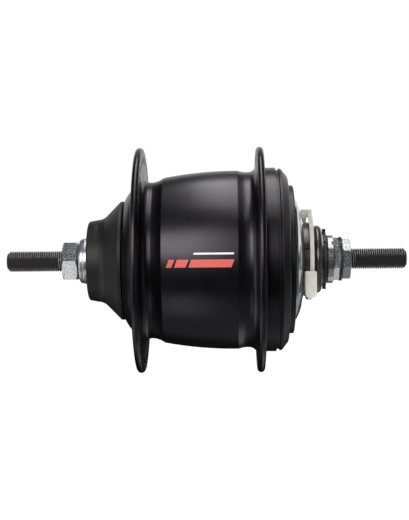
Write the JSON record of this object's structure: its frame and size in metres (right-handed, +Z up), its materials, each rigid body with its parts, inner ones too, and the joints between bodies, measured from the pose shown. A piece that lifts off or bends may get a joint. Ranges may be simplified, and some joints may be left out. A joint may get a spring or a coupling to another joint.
{
  "type": "bicycle internal gear hub",
  "caption": "Rear bicycle hub with an internal planetary gear: flanged black shell turning on a threaded axle, sprocket driver, gear-selector sleeve and locknuts.",
  "frame": {"origin": "on the axle's axis, half way between the two locknut faces", "axes": "+X along the axle to the drive side (sprocket end), +Z up, -Y the side seen in the picture"},
  "size_m": [0.184, 0.1036, 0.1036],
  "materials": {
    "shell_black": "satin black anodised",
    "cap_black": "matte",
    "black_steel": "black oxide",
    "seal_black": "satin black",
    "zinc_steel": "bright zinc plated",
    "driver_steel": "dark heat treated",
    "gear_steel": "ground gear steel",
    "ball_steel": "polished",
    "spring_steel": "drawn wire",
    "cage_steel": "phosphated",
    "bronze_bush": "plain bearing",
    "nylon_tie": "ivory nylon"
  },
  "bodies": {
    "axle": {"axle": "black_steel", "left_locknut": "zinc_steel", "left_lock_washer": "black_steel", "left_cone": "gear_steel", "left_cone_dust_cover": "zinc_steel", "axle_circlip": "spring_steel", "sun_thrust_washers": "bronze_bush", "sun_reaction": "gear_steel", "sun_high": "gear_steel", "pawl_mid_folded": "gear_steel", "pawl_low_folded": "gear_steel", "right_cone": "gear_steel", "castle_bush": "zinc_steel", "right_hex_nut": "zinc_steel", "right_lock_washer": "black_steel", "right_locknut": "zinc_steel", "shift_return_spring": "spring_steel"},
    "shell": {"hub_shell": "shell_black", "left_flange": "shell_black", "right_flange": "shell_black", "left_end_cap": "cap_black", "left_ball_cup": "gear_steel", "right_end_ring": "seal_black", "right_seal": "seal_black", "output_ring_gear": "gear_steel", "clutch_rollers": "ball_steel", "clutch_roller_cage": "cage_steel"},
    "driver": {"driver": "driver_steel", "driver_ball_race": "gear_steel", "driver_dust_cover": "zinc_steel", "driver_end_cap": "driver_steel", "input_ring_gear": "gear_steel", "direct_clutch_ring": "gear_steel"},
    "planet_carrier": {"planet_cage": "cage_steel", "overdrive_planet_pins": "ball_steel", "reduction_planet_pins": "ball_steel", "cage_bushes": "bronze_bush"},
    "free_sun_mid": {"sun_mid": "gear_steel"},
    "free_sun_low": {"sun_low": "gear_steel"},
    "sleeve": {"control_sleeve": "black_steel"},
    "reaction_pawl": {"pawl_reaction": "gear_steel"},
    "high_pawl": {"pawl_high": "gear_steel"},
    "left_bearing": {"left_balls": "ball_steel", "left_ball_retainer": "cage_steel"},
    "driver_bearing": {"driver_balls": "ball_steel", "driver_ball_retainer": "cage_steel"},
    "shell_bearing": {"shell_balls": "ball_steel", "shell_ball_retainer": "cage_steel"},
    "tie": {"shipping_tie": "nylon_tie"},
    "overdrive_planet_1": {"overdrive_planet_1": "gear_steel"},
    "overdrive_planet_2": {"overdrive_planet_2": "gear_steel"},
    "overdrive_planet_3": {"overdrive_planet_3": "gear_steel"},
    "reduction_planet_1": {"reduction_planet_1": "gear_steel"},
    "reduction_planet_2": {"reduction_planet_2": "gear_steel"},
    "reduction_planet_3": {"reduction_planet_3": "gear_steel"}
  },
  "joints": [
    {"name": "shell_spin", "type": "hinge", "parent": "axle", "child": "shell", "pos_m": [0, 0, 0], "axis": [1, 0, 0], "continuous": true},
    {"name": "driver_spin", "type": "hinge", "parent": "axle", "child": "driver", "pos_m": [0, 0, 0], "axis": [1, 0, 0], "continuous": true},
    {"name": "carrier_spin", "type": "hinge", "parent": "axle", "child": "planet_carrier", "pos_m": [0, 0, 0], "axis": [1, 0, 0], "continuous": true},
    {"name": "sun_mid_spin", "type": "hinge", "parent": "axle", "child": "free_sun_mid", "pos_m": [0, 0, 0], "axis": [1, 0, 0], "continuous": true},
    {"name": "sun_low_spin", "type": "hinge", "parent": "axle", "child": "free_sun_low", "pos_m": [0, 0, 0], "axis": [1, 0, 0], "continuous": true},
    {"name": "left_bearing_spin", "type": "hinge", "parent": "axle", "child": "left_bearing", "pos_m": [0, 0, 0], "axis": [1, 0, 0], "continuous": true},
    {"name": "driver_bearing_spin", "type": "hinge", "parent": "axle", "child": "driver_bearing", "pos_m": [0, 0, 0], "axis": [1, 0, 0], "continuous": true},
    {"name": "shell_bearing_spin", "type": "hinge", "parent": "axle", "child": "shell_bearing", "pos_m": [0, 0, 0], "axis": [1, 0, 0], "continuous": true},
    {"name": "overdrive_planet_1_spin", "type": "hinge", "parent": "planet_carrier", "child": "overdrive_planet_1", "pos_m": [0, 0, 0.0216], "axis": [1, 0, 0], "continuous": true},
    {"name": "overdrive_planet_2_spin", "type": "hinge", "parent": "planet_carrier", "child": "overdrive_planet_2", "pos_m": [0, -0.01871, -0.0108], "axis": [1, 0, 0], "continuous": true},
    {"name": "overdrive_planet_3_spin", "type": "hinge", "parent": "planet_carrier", "child": "overdrive_planet_3", "pos_m": [0, 0.01871, -0.0108], "axis": [1, 0, 0], "continuous": true},
    {"name": "reduction_planet_1_spin", "type": "hinge", "parent": "planet_carrier", "child": "reduction_planet_1", "pos_m": [0, -0.01871, 0.0108], "axis": [1, 0, 0], "continuous": true},
    {"name": "reduction_planet_2_spin", "type": "hinge", "parent": "planet_carrier", "child": "reduction_planet_2", "pos_m": [0, 0, -0.0216], "axis": [1, 0, 0], "continuous": true},
    {"name": "reduction_planet_3_spin", "type": "hinge", "parent": "planet_carrier", "child": "reduction_planet_3", "pos_m": [0, 0.01871, 0.0108], "axis": [1, 0, 0], "continuous": true},
    {"name": "control_sleeve_turn", "type": "hinge", "parent": "axle", "child": "sleeve", "pos_m": [0.054, 0, 0], "axis": [1, 0, 0], "range_deg": [0, 154], "stiffness_Nm_per_rad": 0.03, "springref_deg": -68.75},
    {"name": "reaction_pawl_fold", "type": "hinge", "parent": "axle", "child": "reaction_pawl", "pos_m": [0.0011, -0.00178, 0.00489], "axis": [1, 0, 0], "range_deg": [0, 30], "stiffness_Nm_per_rad": 0.005, "springref_deg": -20.05},
    {"name": "high_pawl_fold", "type": "hinge", "parent": "axle", "child": "high_pawl", "pos_m": [-0.0269, -0.00178, 0.00489], "axis": [1, 0, 0], "range_deg": [0, 30], "stiffness_Nm_per_rad": 0.005, "springref_deg": -20.05},
    {"name": "tie_slide", "type": "slide", "parent": "driver", "child": "tie", "axis": [1, 0, 0], "range_m": [0, 0.055]}
  ],
  "couplings": [
    {"joint": "driver_spin", "follows": "shell_spin", "ratio": 1.1957},
    {"joint": "carrier_spin", "follows": "shell_spin", "ratio": 0.625},
    {"joint": "sun_mid_spin", "follows": "shell_spin", "ratio": -0.22727},
    {"joint": "sun_low_spin", "follows": "shell_spin", "ratio": -0.83333},
    {"joint": "left_bearing_spin", "follows": "shell_spin", "ratio": 0.61226},
    {"joint": "driver_bearing_spin", "follows": "shell_spin", "ratio": 0.7009},
    {"joint": "shell_bearing_spin", "follows": "shell_spin", "ratio": 1.0901},
    {"joint": "overdrive_planet_1_spin", "follows": "shell_spin", "ratio": 1.875},
    {"joint": "overdrive_planet_2_spin", "follows": "shell_spin", "ratio": 1.875},
    {"joint": "overdrive_planet_3_spin", "follows": "shell_spin", "ratio": 1.875},
    {"joint": "reduction_planet_1_spin", "follows": "shell_spin", "ratio": 1.875},
    {"joint": "reduction_planet_2_spin", "follows": "shell_spin", "ratio": 1.875},
    {"joint": "reduction_planet_3_spin", "follows": "shell_spin", "ratio": 1.875}
  ]
}
